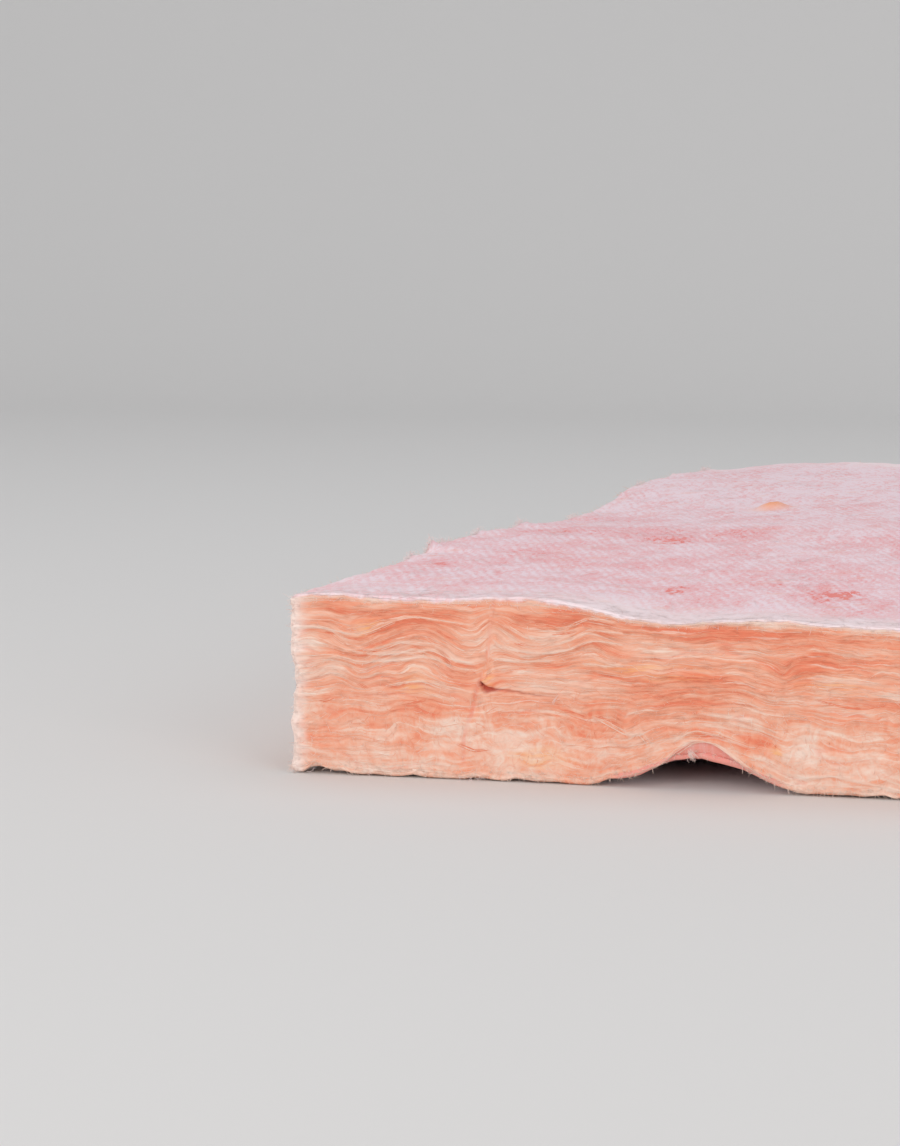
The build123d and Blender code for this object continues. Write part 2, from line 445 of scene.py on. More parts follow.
def surface(x, y, z):
    """Points of the finished wool over points of the plain box, with what the material needs to know."""
    p, out = place(x, y, z)
    px, py, pz = np.moveaxis(p, -1, 0)
    up, flat = out[..., 2], np.abs(out[..., 2])
    s, roof = px + HALF_X, under(px, py)
    layer = pz - lift(px, py, pz)
    cut_stand, seam, relief = cut_relief(px, py, pz, layer)
    at_near = step(6, 1, py + HALF_Y) * (out[..., 1] < -0.3)
    slit, split = (depth * at_near for depth in slit_and_split(s, pz))
    ridge, shade = fold_ridge(s, pz, at_near > 0)
    side = step(0.75, 0.35, flat)
    stand = (cut_stand - INSET) * side + skin_relief(px, py) * (1 - side)
    stand = stand - slit - SPLIT_DEPTH * split + 0.4 * ridge

    # The upright edges are ragged, and the hollow's rim is a lip with the roof stepped back behind it
    to_corner = np.maximum(HALF_X - np.abs(px), 0) + np.maximum(HALF_Y - np.abs(py), 0)
    stand = stand + (1.6 * grain("ragged_edge", px, py, layer) + 1) * side * np.exp(-to_corner / 7)
    rim = np.interp(s, *hollow_rim, left=0, right=0)
    inside = step(0.4, -0.4, pz - rim) * step(0, 3, rim - roof) * at_near
    stand = stand - inside * RIM_DEPTH * np.clip((rim - pz) / np.maximum(rim - roof, 1), 0, 1)
    stand = stand + RIM_LIP * at_near * step(2, 6, rim) * bell(pz - rim - 1, 1.1)
    p = p + out * np.where(up < -0.3, np.minimum(stand, 0), stand)[..., None]
    outer = np.minimum(HALF_X - np.abs(px), HALF_Y - np.abs(py))
    flare, lifted = handling(px, py, pz, up, outer, roof)
    p[..., 0] -= flare
    p[..., 2] += lifted

    skin = step(0.5, 0.92, flat + grain("skin_border", px, py) * (flat > 0.01)) * (up > 0)
    skin = np.maximum(np.maximum(skin, (up < -0.97) & (outer > 12)), inside * 0.3)
    inside = np.maximum(inside, step(1, 5, roof) * (up < -0.1) * (out[..., 1] > -0.97))
    facts = dict(layer=layer, relief=relief, seam=seam, slit=slit, split=split, skin=skin, inside=inside)
    # The ridge fact holds the pale folds, less the painted shade just under them
    return p, out, dict(facts, ridge=ridge - 1.2 * shade)


# Meshes

NEAR_COLUMNS, NEAR_ROWS = 390, 130  # cells of the body's mesh across and up the near end
FLOCK_LINES = np.arange(101, 143, 4)  # more lines of the mesh, across the flock


def mesh_object(name, points, faces, values, material):
    """A smooth mesh from points in millimetres, arrays of faces, and named values of its points."""
    mesh = bpy.data.meshes.new(name)
    points = np.asarray(points, np.float32) * MM
    mesh.from_pydata(points, [], [face for block in faces for face in block.tolist()], shade_flat=False)
    mesh.validate()
    for key, value in values.items():
        mesh.attributes.new(key, "FLOAT", "POINT").data.foreach_set("value", np.asarray(value, np.float32))
    mesh.materials.append(material)
    piece = bpy.data.objects.new(name, mesh)
    bpy.context.scene.collection.objects.link(piece)
    return piece


def graded(half, finest, widest, growth):
    """Places from the end of a side to its middle, close together at the end."""
    gaps = [finest]
    while sum(gaps) < half:
        gaps.append(min(gaps[-1] * growth, widest))
    ends = np.cumsum([0] + gaps)
    return ends / ends[-1] * half


def thinned(count, finest, widest):
    """Every few of the fine lines of the near end, more of them near its ends."""
    keep, at = [], 0
    while at < count // 2:
        keep.append(at)
        at += int(np.clip(at // 2, finest, widest))
    return np.array(keep + [count // 2] + [count - k for k in keep[::-1]])


def body_mesh(material):
    """The wool as one closed mesh, finely divided at the near end."""
    fine_x = np.linspace(-HALF_X, HALF_X, NEAR_COLUMNS + 1)
    fine_z = np.linspace(0, THICK, NEAR_ROWS + 1)
    near_half = graded(HALF_Y, 0.8, 6.5, 1.25) - HALF_Y
    far_half = HALF_Y - graded(HALF_Y, 0.9, 12, 1.3)[::-1]
    far_half = far_half[(far_half < FLOCK_LINES[0] - 3) | (far_half > FLOCK_LINES[-1] + 3)]
    lines_y = np.sort(np.concatenate([near_half, far_half[1:], FLOCK_LINES]))
    some_x, some_z = thinned(NEAR_COLUMNS, 1, 5), thinned(NEAR_ROWS, 1, 4)
    shape = (len(fine_x), len(lines_y), len(fine_z))
    grid = np.arange(np.prod(shape)).reshape(shape)
    quads, triangles = [], []

    def sheet(keys, flip):
        four = np.stack([keys[:-1, :-1], keys[1:, :-1], keys[1:, 1:], keys[:-1, 1:]], -1).reshape(-1, 4)
        quads.append(four[:, ::-1] if flip else four)

    def stitch(border, beside, some, flip):
        """Joins a finely divided border to some of the points of the row beside it."""
        for a, b in zip(some[:-1], some[1:]):
            middle = (a + b) // 2
            fan = [(border[f], border[f + 1], beside[a if f < middle else b]) for f in range(a, b)]
            fan.append((border[middle], beside[b], beside[a]))
            triangles.extend(three[::-1] if flip else three for three in fan)

    sheet(grid[:, 0], False)
    sheet(grid[some_x, -1][:, some_z], True)
    for side, flip in ((0, True), (-1, False)):
        sheet(grid[some_x, 1:, side], flip)
        stitch(grid[:, 0, side], grid[:, 1, side], some_x, flip)
    for side, flip in ((0, True), (-1, False)):
        sheet(grid[side, 1:][:, some_z], flip)
        stitch(grid[side, 0], grid[side, 1], some_z, not flip)
    quads, triangles = np.concatenate(quads), np.array(triangles)
    used = np.unique(np.concatenate([quads.ravel(), triangles.ravel()]))
    faces = [np.searchsorted(used, quads), np.searchsorted(used, triangles)]
    i, j, k = np.unravel_index(used, shape)
    points, _, facts = surface(fine_x[i], lines_y[j], fine_z[k])
    points[:, 2] = np.maximum(points[:, 2], 0)
    return mesh_object("wool_body", points, faces, colour_facts(points, facts), material)


# Colours

# Paler (below 0) and deeper patches of the near end: s, height, reach across and up, and strength. The
# paler ones low along the foot are painted light, lifting the shade near the floor
near_patches = (
    (60, 85, 70, 8, 0.26), (205, 81, 60, 5, 0.42), (300, 80, 70, 8, 0.24), (272, 66, 15, 9, 0.55),
    (212, 59, 18, 3, 0.55), (215, 45, 16, 4, 0.45), (178, 52, 22, 5, 0.25), (247, 27, 9, 5, 0.5),
    (88, 50, 24, 5, 0.25), (62, 38, 24, 7, 0.16), (14, 17, 14, 4, 0.34), (145, 86, 30, 5, 0.2),
    (78, 27, 12, 9, -0.32), (124, 22, 26, 14, -0.26), (40, 5, 46, 6, -0.36), (110, 2, 60, 5, -0.34),
    (330, 3, 60, 5, -0.34), (296, 34, 34, 20, -0.26), (272, 21, 17, 9, -0.4), (240, 37, 16, 4, -0.3),
    (50, 62, 30, 4, -0.2), (118, 66, 14, 8, -0.2), (6, 60, 8, 26, -0.3), (10, 68, 8, 6, -0.3),
    (24, 58, 7, 4, -0.3), (8, 88, 10, 6, -0.1), (185, 76, 30, 5, -0.12),
)
gold_patches = (
    (41, 77, 7, 2.2, 1), (190, 61, 24, 1.8, 1), (203, 57, 14, 2, 0.7), (66, 46, 8, 4, 0.8),
    (104, 56, 3, 5, 0.9), (283, 58, 16, 4, 0.5), (131, 12, 14, 5, 0.6), (256, 20, 2.5, 3, 1),
)
# Patches of the upper skin: x, y, reach in x and in y, and how pink
blush_patches = (
    (-35, -453, 6, 15, 1.5), (54, -433, 10, 21, 1.8), (44, -452, 12, 26, 0.35),
    (-138, -427, 8, 15, 0.6), (-184, -399, 5, 14, 0.5), (-93, -183, 20, 20, 0.9),
    (19, -397, 34, 44, 0.3), (-161, -156, 40, 44, 0.3), (-75, -104, 40, 44, 0.3),
    (-19, 150, 40, 40, 0.3), (-150, -330, 30, 40, 0.3), (-160, -480, 22, 24, -0.3),
    (110, -330, 50, 60, -0.4), (-208, -169, 12, 20, -0.5), (-2, -122, 26, 40, -0.5),
    (0, 60, 90, 50, -0.4), (0, 330, 300, 230, -0.8),
)
flock_patch = ((-77, 124, 10, 20, 1.4),)
# How much painted light pales the near end's upper edge, and how much painted glow whitens the skin beside
# it, by s
pale_border = (0, 150, 200), (0.6, 0.6, 1)
skin_glow_by_s = (0, 110, 170), (0.3, 0.4, 1)
UPPER_HALF = 60  # above it a point belongs to the upper skin


def colour_facts(points, facts):
    """Adds to each point how deep its colour is, how golden, how much painted glow whitens it, how cloudy
    and how pink.
    """
    x, y, z = np.moveaxis(points, -1, 0)
    s, layer, skin = x + HALF_X, facts["layer"], facts["skin"]
    at_near, on_skin, above = bell(y + HALF_Y, NEAR_REACH), skin > 0.5, z > UPPER_HALF
    deep = grain("depth", x, y, layer) * (1 - 0.45 * at_near) + 0.85 * at_near * blobs(s, z, near_patches)
    # Painted light: the near end is paler just under its upper edge, lifting the shade of the rolled edge
    # under the skin
    border = step(6, 0.5, THICK - layer + grain("pale_border", x, y))
    border = border * at_near * np.interp(s, *pale_border)
    # Pale folds are made paler, and the painted shade just under them deeper
    deep = deep - 0.1 * (1 - z / THICK) - 0.22 * facts["ridge"] - 0.6 * border
    veins = 0.7 * step(0.45, 0.8, grain("veins", x, y, layer))
    gold = at_near * blobs(s, layer, gold_patches) + (1 - at_near) * veins
    gold = np.clip(np.where(on_skin, blobs(x, y, flock_patch) * above, gold), 0, 1)
    ends = np.minimum(y + HALF_Y, HALF_Y - y)
    cut = skin < 0.5
    edge = np.minimum(np.minimum(s, 2 * HALF_X - s), np.where(cut, np.inf, ends))
    # Painted glow: the cut faces whiten at their upright corners, and the skin along its edges and near
    # the ends, where light shines through the thin wool
    corner = step(8.5, -0.5, edge + grain("corner_glow", x, y, z)) * cut * step(16, 6, ends)
    band = step(95, 14, ends + grain("skin_glow_reach", x, y)) * np.interp(s, *skin_glow_by_s)
    band = band + 0.45 * step(20, 2, edge) * step(-0.5, 0.5, grain("edge_glow", x, y))
    paleness_and_glow = np.maximum(corner, np.clip(band, 0, 1) * step(0.3, 0.8, skin))
    blush = blobs(x, y, blush_patches) * above + facts["inside"]
    return dict(facts, deep=deep, gold=gold, paleness_and_glow=paleness_and_glow, cloud=cloudy(x, y, z), blush=blush)


# Materials


def linear(red, green, blue):
    """A colour for a shader, from the numbers, 0 to 255, that a screen is sent."""
    return tuple(((v / 255 + 0.055) / 1.055) ** 2.4 for v in (red, green, blue)) + (1,)


WOOL_STOPS = (
    (0, linear(241, 215, 200)),
    (0.25, linear(240, 198, 178)),
    (0.5, linear(239, 178, 152)),
    (0.75, linear(238, 157, 127)),
    (1, linear(232, 132, 102)),
)
SKIN_STOPS = (
    (0, linear(238, 140, 134)),
    (0.2, linear(240, 180, 184)),
    (0.5, linear(240, 201, 206)),
    (0.85, linear(243, 221, 228)),
)
CREAM, GOLD = linear(241, 218, 202), linear(245, 180, 118)
# What lies over the colour of the layers: the attribute, the most of it that shows, and its colour
CUT_TINTS = (
    # painted shade in the seams' crevices
    ("seam", 0.7, linear(234, 134, 106)),
    # painted glow at the upright corners
    ("paleness_and_glow", 0.85, linear(247, 230, 222)),
    # painted shade in the slit's groove
    ("slit", 0.85, linear(226, 116, 98)),
    # painted shade: the dark red-brown inside of the split
    ("split", 1, linear(190, 70, 56)),
    ("inside", 0.8, linear(238, 158, 148)),
)
# The skins' whitish tint near their ends and edges is painted glow
SKIN_TINTS = (("gold", 0.9, linear(247, 168, 124)), ("paleness_and_glow", 0.8, linear(250, 234, 236)))
# The fibres' pale tint: their own paleness, with the painted glow of the wool they grow from
FIBRE_PALENESS_AND_GLOW = linear(244, 228, 231)
FLOOR_GREY = (0.72, 0.71, 0.7, 1)
# The rows of holes of the belt that pressed the skins, in radians a metre
BELT_ACROSS, BELT_ALONG = 1005, 376.98
DRAWN_OUT = 0.36  # the skins' grain is so much finer across the batt than along it


class Shader:
    """A material's node tree, with short calls for the nodes that this scene uses."""

    def __init__(self, name, specular):
        self.material = bpy.data.materials.new(name)
        self.material.use_nodes = True
        self.tree = self.material.node_tree
        self.bsdf = self.tree.nodes["Principled BSDF"]
        self.bsdf.inputs["Specular IOR Level"].default_value = specular

    def node(self, kind, settings, *numbered, **named):
        """A node with its settings and inputs, each one a value, another node's output or None."""
        made = self.tree.nodes.new("ShaderNode" + kind)
        for key, value in settings.items():
            setattr(made, key, value)
        for key, value in [*enumerate(numbered), *named.items()]:
            if isinstance(value, bpy.types.NodeSocket):
                self.tree.links.new(value, made.inputs[key])
            elif value is not None:
                made.inputs[key].default_value = value
        return made.outputs

    def surface(self, **outputs):
        """Gives the shader its colour, roughness or normal."""
        for name, value in outputs.items():
            self.tree.links.new(value, self.bsdf.inputs[name.replace("_", " ")])

    def place(self):
        """Where a point is in the object's own frame, in metres, with its x and y."""
        spot = self.node("TexCoord", {})["Object"]
        parts = self.node("SeparateXYZ", {}, spot)
        return spot, parts["X"], parts["Y"]

    def fact(self, name):
        return self.node("Attribute", {"attribute_name": name})["Fac"]

    def math(self, operation, *values):
        return self.node("Math", {"operation": operation}, *values)[0]

    def times(self, value, by, plus=0):
        return self.math("MULTIPLY_ADD", value, by, plus)

    def swing(self, noise, by, plus):
        """Adds to a value how far a noise is from its middle, times a number."""
        return self.times(self.math("SUBTRACT", noise, 0.5), by, plus)

    def noise(self, vector, detail, rough, scale=1, bent=0):
        inputs = dict(Vector=vector, Scale=scale, Detail=detail, Roughness=rough, Distortion=bent)
        return self.node("TexNoise", {"noise_dimensions": "3D"}, **inputs)["Fac"]

    def range(self, value, low_end, high_end, to_low=0, to_high=1):
        smooth = {"interpolation_type": "SMOOTHSTEP"}
        return self.node("MapRange", smooth, value, low_end, high_end, to_low, to_high)[0]

    def mix(self, share, first, second):
        return self.node("Mix", {"data_type": "RGBA"}, share, *[None] * 5, first, second)[2]

    def tinted(self, colour, tints):
        """A colour with others over it, each where its attribute says."""
        for name, most, tint in tints:
            colour = self.mix(self.times(self.fact(name), most), colour, tint)
        return colour

    def ramp(self, value, stops):
        made = self.node("ValToRGB", {}, value)["Color"]
        elements = made.node.color_ramp.elements
        while len(elements) < len(stops):
            elements.new(0.5)
        for element, (position, colour) in zip(elements, stops):
            element.position, element.color = position, colour
        return made

    def vector(self, x, y, z):
        return self.node("CombineXYZ", {}, x, y, z)[0]


def cut_looks(look):
    """The colour of the cut faces, with the sheets and strands that their layers show."""
    spot, x, y = look.place()
    cloud = look.noise(spot, 4, 0.6, 75)
    layer = look.times(cloud, 3.5, look.fact("layer"))

    def layered(reach, thick, detail, rough):
        """Noise drawn out along the layers: its reach along them and its thickness, in millimetres."""
        run = [look.times(v, share / reach) for v, share in ((x, 1000), (y, 550))]
        return look.noise(look.vector(*run, look.times(layer, 1 / thick)), detail, rough)

    sheets = layered(38, 2.8, 3, 0.6)
    strands = layered(12, 0.85, 2, 0.6)
    cream = layered(30, 1.7, 1, 0.5)
    swirl = look.noise(spot, 5, 0.68, 95, 2.2)
    cloudy_share = look.fact("cloud")
    fact = look.times(look.fact("deep"), 0.85, 0.6)
    # How much more of each noise shows where it is cloudy, and how much shows everywhere
    shows = ((sheets, -0.85, 1.05), (cloud, 0.7, 0.35), (swirl, 1.15, 0), (strands, -0.42, 0.62))
    for noise, more, always in shows:
        fact = look.swing(noise, look.times(cloudy_share, more, always), fact)
    # Painted shade: deeper colour in the crevices of the fine layers, paler on their ridges
    fact = look.times(look.fact("relief"), -0.45, fact)
    colour = look.ramp(fact, WOOL_STOPS)
    colour = look.mix(look.times(look.range(cream, 0.6, 0.7), 0.55), colour, CREAM)
    gold = look.times(look.fact("gold"), look.range(sheets, 0.35, 0.6))
    colour = look.mix(look.times(gold, 0.8), colour, GOLD)
    return look.tinted(colour, CUT_TINTS), sheets, strands


def skin_looks(look):
    """The colour and the relief of the skins: a web of pale fibres, pressed by a belt with holes."""
    spot, x, y = look.place()
    drawn = look.vector(x, look.times(y, DRAWN_OUT), 0.5)
    fine = look.noise(drawn, 2, 0.65, 560)
    bend = look.times(look.noise(spot, 1, 0.5, 40), 6)
    rows = []
    for slant in (BELT_ALONG, -BELT_ALONG):
        phase = look.times(x, BELT_ACROSS, look.times(y, slant, bend))
        rows.append(look.math("SINE", phase))
    dimple = look.times(rows[1], 0.25, look.times(rows[0], 0.7))
    clear = look.range(look.noise(drawn, 3, 0.65, 60), 0.35, 0.65, 0.02, 0.22)
    broad = look.range(look.noise(drawn, 4, 0.65, 30), 0.3, 0.7, 0.3, 0.76)
    tone = look.times(dimple, clear, broad)
    tone = look.swing(fine, 1.3, tone)
    tone = look.swing(look.noise(drawn, 3, 0.7, 120), 0.55, tone)
    mottle = look.range(look.noise(drawn, 3, 0.7, 170), 0.3, 0.65, -1, 0)
    tone = look.times(look.fact("blush"), mottle, tone)
    colour = look.tinted(look.ramp(tone, SKIN_STOPS), SKIN_TINTS)
    return colour, look.times(dimple, 0.25, fine)


def wool_material():
    """The wool of the body: its cut faces and its skins."""
    look = Shader("layered_wool", specular=0.15)
    cut_colour, sheets, strands = cut_looks(look)
    skin_colour, skin_height = skin_looks(look)
    on_skin = look.fact("skin")
    height = look.mix(on_skin, look.times(strands, 0.6, sheets), skin_height)
    bump = look.node("Bump", {}, Strength=0.2, Distance=0.001, Height=height)
    look.surface(
        Base_Color=look.mix(on_skin, cut_colour, skin_colour),
        Roughness=look.range(strands, 0.2, 0.8, 0.72, 0.95),
        Normal=bump["Normal"],
    )
    return look.material


def fibre_material():
    """The loose fibres, in the colours of the cut faces."""
    look = Shader("fibres", specular=0)
    spots = look.noise(look.place()[0], 1, 0.5, 240)
    colour = look.ramp(look.swing(spots, 0.4, look.fact("deep")), WOOL_STOPS)
    look.surface(
        Base_Color=look.tinted(colour, (("paleness_and_glow", 1, FIBRE_PALENESS_AND_GLOW),)),
        Roughness=look.range(spots, 0.2, 0.8, 0.6, 0.85),
    )
    return look.material


# Fibres

ODD_WAY = (0.21, 0.13, 0.97)  # a direction that no fibre runs along
ROUND = 0.45  # how much of a fibre's own roundness shows in its shading
LOOSE, SIDEWAYS = 0.25, 0.5  # the same for the wool's facing, in loose hairs and on the sides
PRESS_REACH = 3 * MM  # how far a fibre may be moved onto the wool
CLEAR_LEFT, CLEAR_RIGHT = 0.6, 1.2  # how far the fibres keep off the slit
NAP_SPREAD = 0.8  # how much the short hairs lean
NEAR_SHARE = 0.35  # of the fibres on the upper skin, how many lie close to the near end
# The most of each under a fibre that is kept
KEPT_CLEAR = {"split": 0.2, "slit": 0.3, "skin": 0.5, "inside": 0.3}


def fibres(name, groups, material, squash):
    """One mesh of thin three-sided tubes, from groups of lines, with their radii, tones, paleness with
    painted glow, and the way the wool faces there, shorter for loose hairs."""
    all_points, all_faces, facing, deep, paleness_and_glow, start = [], [], [], [], [], 0
    for lines, radii, tones, paleness_and_glow_values, outs in groups:
        count, knots = lines.shape[:2]
        tangent = unit(np.gradient(lines, axis=1))
        first = unit(np.cross(tangent, ODD_WAY))
        second = np.cross(tangent, first)
        taper = 0.35 + 0.65 * np.sin(np.pi * np.linspace(0, 1, knots)) ** 0.6
        ring = [first * np.cos(a) + second * np.sin(a) for a in np.arange(3) * 2 * np.pi / 3]
        ring = np.stack(ring, 2)
        tube = lines[:, :, None] + ring * (radii[:, None] * taper)[..., None, None] * np.array(squash)
        index = start + np.arange(count * knots * 3).reshape(count, knots, 3)
        a, b = index[:, :-1], index[:, 1:]
        sides = np.stack([a, np.roll(a, -1, 2), np.roll(b, -1, 2), b], -1).reshape(-1, 4)
        all_points.append(tube.reshape(-1, 3))
        face_out = np.broadcast_to(outs, lines.shape)[:, :, None] + ROUND * ring
        facing.append(unit(face_out).reshape(-1, 3))
        all_faces += [sides, index[:, 0, ::-1], index[:, -1]]
        for kept, values in ((deep, tones), (paleness_and_glow, paleness_and_glow_values)):
            values = np.broadcast_to(np.reshape(values, (count, -1)), (count, knots))
            kept.append(np.repeat(values, 3))
        start += count * knots * 3
    points = np.concatenate(all_points)
    points[:, 2] = np.maximum(points[:, 2], 0.05)
    values = {"deep": np.concatenate(deep), "paleness_and_glow": np.concatenate(paleness_and_glow)}
    piece = mesh_object(name, points, all_faces, values, material)
    piece.data.normals_split_custom_set_from_vertices(np.concatenate(facing))
    return piece


def pressed(points, out, tree):
    """Points moved along the way the wool faces, until they lie on the finished body."""
    moved = points.reshape(-1, 3).copy()
    for n, way in enumerate(out.reshape(-1, 3)):
        way = Vector(way)
        hit = tree.ray_cast(Vector(moved[n]) * MM + way * PRESS_REACH, -way, 2 * PRESS_REACH)[0]
        if hit is not None:
            moved[n] = np.array(hit) / MM
    return moved.reshape(points.shape)


def wander(count, knots, size, swings=3):
    """Smooth random offsets along many lines."""
    t = np.linspace(0, 1, knots)
    total = np.zeros((count, knots))
    for n in range(1, swings + 1):
        turn = uniform(0, 2 * np.pi, (count, 1))
        total += normal(0, size / n, (count, 1)) * np.sin(np.pi * n * t + turn)
    return total


def to_ends(knots, power):
    """0 in the middle of a line, and rising to 1 at its ends."""
    return np.abs(np.linspace(-1, 1, knots)) ** power


def on_face(face, run):
    """x and y of places along a cut face."""
    plane = np.full_like(run, PLANES[face])
    return (run, plane) if face in ENDS else (plane, run)


def up_to_slit(x, z, middle):
    """Places of fibres along the near end, held to the side of the slit that their middle is on."""
    slit = (np.interp(z, *slit_line) - HALF_X)[:, None]
    left, right = np.minimum(x, slit - CLEAR_LEFT), np.maximum(x, slit + CLEAR_RIGHT)
    return np.where(middle[:, None] < slit, left, right)


def wool_tones(toned, own):
    """Tones, and paleness with painted glow, of fibres that look much as the wool under them."""
    return 0.6 + 0.85 * toned["deep"] - 0.3 * toned["paleness_and_glow"] + own, 0.4 * toned["paleness_and_glow"]


def clear(facts):
    """Which fibres lie nowhere in the slit, the split or the hollow, nor on a skin."""
    return np.all([facts[name].max(1) < most for name, most in KEPT_CLEAR.items()], axis=0)


def laid(tree, face, count, knots, lengths, radii):
    """Fibres that lie along the layers of a cut face."""
    half = HALF_X if face in ENDS else HALF_Y
    length = uniform(*lengths, count)
    middle = uniform(-half, half, count)
    run = middle[:, None] + np.linspace(-0.5, 0.5, knots) * length[:, None]
    run = np.clip(run, -half + 1, half - 1)
    layer = uniform(1, THICK - 1.5, count)
    if face == "near":
        run = up_to_slit(run, layer, middle)
    layer = layer[:, None] + wander(count, knots, 0.45)
    x, y = on_face(face, run)
    points, out, facts = surface(x, y, box_height(x, y, height_of(x, y, layer)))
    points = pressed(points, out, tree)
    ends = to_ends(knots, 6) * uniform(0, 1.1, count)[:, None] ** 6
    thick = uniform(*radii, count)
    sunk = (thick * uniform(0, 0.5, count))[:, None] + ends + wander(count, knots, 0.04)
    points = points + out * (1, 1, 0) * sunk[..., None]
    toned = colour_facts(points, facts)
    pale = chance.random(count) < 0.25
    own = np.where(pale, normal(-0.22, 0.08, count), normal(0.03, 0.1, count))
    # The laid fibres get the same painted shade from the fine layers under them
    tone, paleness_and_glow = wool_tones(toned, own[:, None] - 0.3 * toned["relief"])
    keep = clear(facts) & (chance.random(count) > 0.97 * toned["cloud"][:, knots // 2])
    group = points, thick, tone, paleness_and_glow, out * (1 if face in ENDS else SIDEWAYS)
    return tuple(part[keep] for part in group)


def felt(tree, count, knots, lengths, radii):
    """Short fibres that lie on the near end in all directions, most of them where it is cloudy."""
    middle = uniform(2, 2 * HALF_X - 2, count) - HALF_X
    height = uniform(2, THICK - 3, count)
    soft = cloudy(middle, -HALF_Y, height)
    turn = normal(0, 0.25 + 0.75 * soft)[:, None] + wander(count, knots, 0.6, 2)
    pace = uniform(*lengths, count)[:, None] / knots
    x = np.clip(middle[:, None] + np.cumsum(np.cos(turn) * pace, 1), -HALF_X, HALF_X)
    x, y = on_face("near", up_to_slit(x, height, middle))
    z = np.clip(height[:, None] + np.cumsum(np.sin(turn) * pace, 1), 0.5, THICK - 1)
    points, out, facts = surface(x, y, z)
    points = pressed(points, out, tree)
    thick = uniform(*radii, count)
    raised = (thick * 0.3)[:, None] + to_ends(knots, 3) * uniform(0, 0.16, (count, 1))
    points = points + out * raised[..., None]
    tone, paleness_and_glow = wool_tones(colour_facts(points, facts), normal(-0.08, 0.2, (count, 1)))
    keep = clear(facts) & (chance.random(count) < 0.35 + 0.65 * soft)
    return tuple(part[keep] for part in (points, thick, tone, paleness_and_glow, out))


def nap(face, count, knots, lengths, radii, box=(0, 1, 0, 1), paleness_and_glow=0.15, own=0):
    """Short fibres that stand out of a face, in a box of shares along it and up or across it."""
    t = np.linspace(0, 1, knots)[:, None]
    u, v = (box[n] + chance.random(count) * (box[n + 1] - box[n]) for n in (0, 2))
    if face == "upper":
        x, y, z = (2 * u - 1) * HALF_X, (2 * v - 1) * HALF_Y, np.full(count, THICK)
    else:
        x, y = on_face(face, (2 * u - 1) * (HALF_X if face in ENDS else HALF_Y))
        z = v * THICK
    root, out, facts = surface(x, y, z)
    lean = unit(out + normal(0, NAP_SPREAD, (count, 3)))
    lean = np.where((np.sum(lean * out, 1) < 0.05)[:, None], lean + out, lean)
    bend = normal(0, 0.3, (count, 3))
    length = uniform(*lengths, count)[:, None, None]
    points = (root - 0.3 * out)[:, None] + (lean[:, None] * t + bend[:, None] * t**2) * length
    toned = colour_facts(root, facts)
    tone = 0.25 + own + 0.7 * toned["deep"] + normal(0, 0.12, count)
    # A hair takes on the painted glow of the wool at its root, as well as its own paleness
    pale = toned["paleness_and_glow"] * (0.8 if face == "upper" else 0.2) + 0.4 * facts["skin"] + paleness_and_glow
    return points, uniform(*radii, count), tone, np.clip(pale, 0, 1), LOOSE * out[:, None]


def web(count, knots, lengths, radii):
    """Fine fibres that lie on the upper skin, a share of them close to the near end."""
    turn = uniform(0, 2 * np.pi, count)[:, None] + wander(count, knots, 0.5, 2)
    pace = uniform(*lengths, count)[:, None] / knots
    y0 = uniform(-1, 1, count) * HALF_Y
    y0 = np.where(chance.random(count) < NEAR_SHARE, -HALF_Y + 45 * chance.random(count) ** 2, y0)
    x0 = uniform(-1, 1, count) * HALF_X
    x = np.clip(x0[:, None] + np.cumsum(np.cos(turn) * pace, 1), -HALF_X, HALF_X)
    y = np.clip(y0[:, None] + np.cumsum(np.sin(turn) * pace, 1), -HALF_Y, HALF_Y)
    points, out, _ = surface(x, y, np.full_like(x, THICK))
    raised = 0.04 + 0.5 * np.abs(wander(count, knots, 0.2))
    raised = raised + to_ends(knots, 4) * uniform(0, 0.8, count)[:, None]
    radius, tone, paleness_and_glow = (uniform(*ends, count) for ends in (radii, (0, 0.35), (0.6, 1)))
    return points + out * raised[..., None], radius, tone, paleness_and_glow, out


def tuft(x, y, height, count):
    """A wisp of curly fibres that stands up from the upper skin."""
    t = np.linspace(0, 1, 9)
    px, py = x + normal(0, 1.2, count), y + normal(0, 7, count)
    px, py = np.clip(px, -HALF_X, HALF_X), np.clip(py, -HALF_Y, HALF_Y)
    root = surface(px, py, np.full(count, THICK))[0]
    tall = height * uniform(0.3, 1, count)[:, None]
    heading = np.array([0, 0, 1]) + normal(0, 0.45, (count, 3))
    swirl = normal(0, 0.22, (count, 2, 3))
    points = root[:, None] + heading[:, None] * (tall * t)[..., None]
    for n in range(2):
        points = points + swirl[:, None, n] * (tall * np.sin(np.pi * (n + 1.5) * t))[..., None]
    radius, tone, paleness_and_glow = (uniform(*ends, count) for ends in ((0.06, 0.12), (0, 0.3), (0.6, 0.95)))
    return points, radius, tone, paleness_and_glow, LOOSE * np.array([-0.2, -0.2, 1])


def curl(start, heading, length, turns, size, radius, paleness_and_glow):
    """One long curly fibre."""
    t = np.linspace(0, 1, 22)
    side = np.cross(heading, (0.3, 0.2, 1))
    side /= np.linalg.norm(side)
    other = np.cross(heading, side)
    phase = 2 * np.pi * turns * t + uniform(0, 6)
    line = np.array(start) + np.array(heading) * (length * t)[:, None]
    line = line + size * (side * np.sin(phase)[:, None] + 0.7 * other * np.cos(phase)[:, None])
    radius, tone, paleness_and_glow = (np.array([value]) for value in (radius, 0.15, paleness_and_glow))
    return line[None], radius, tone, paleness_and_glow, LOOSE * np.array([0, -1, 0.4])


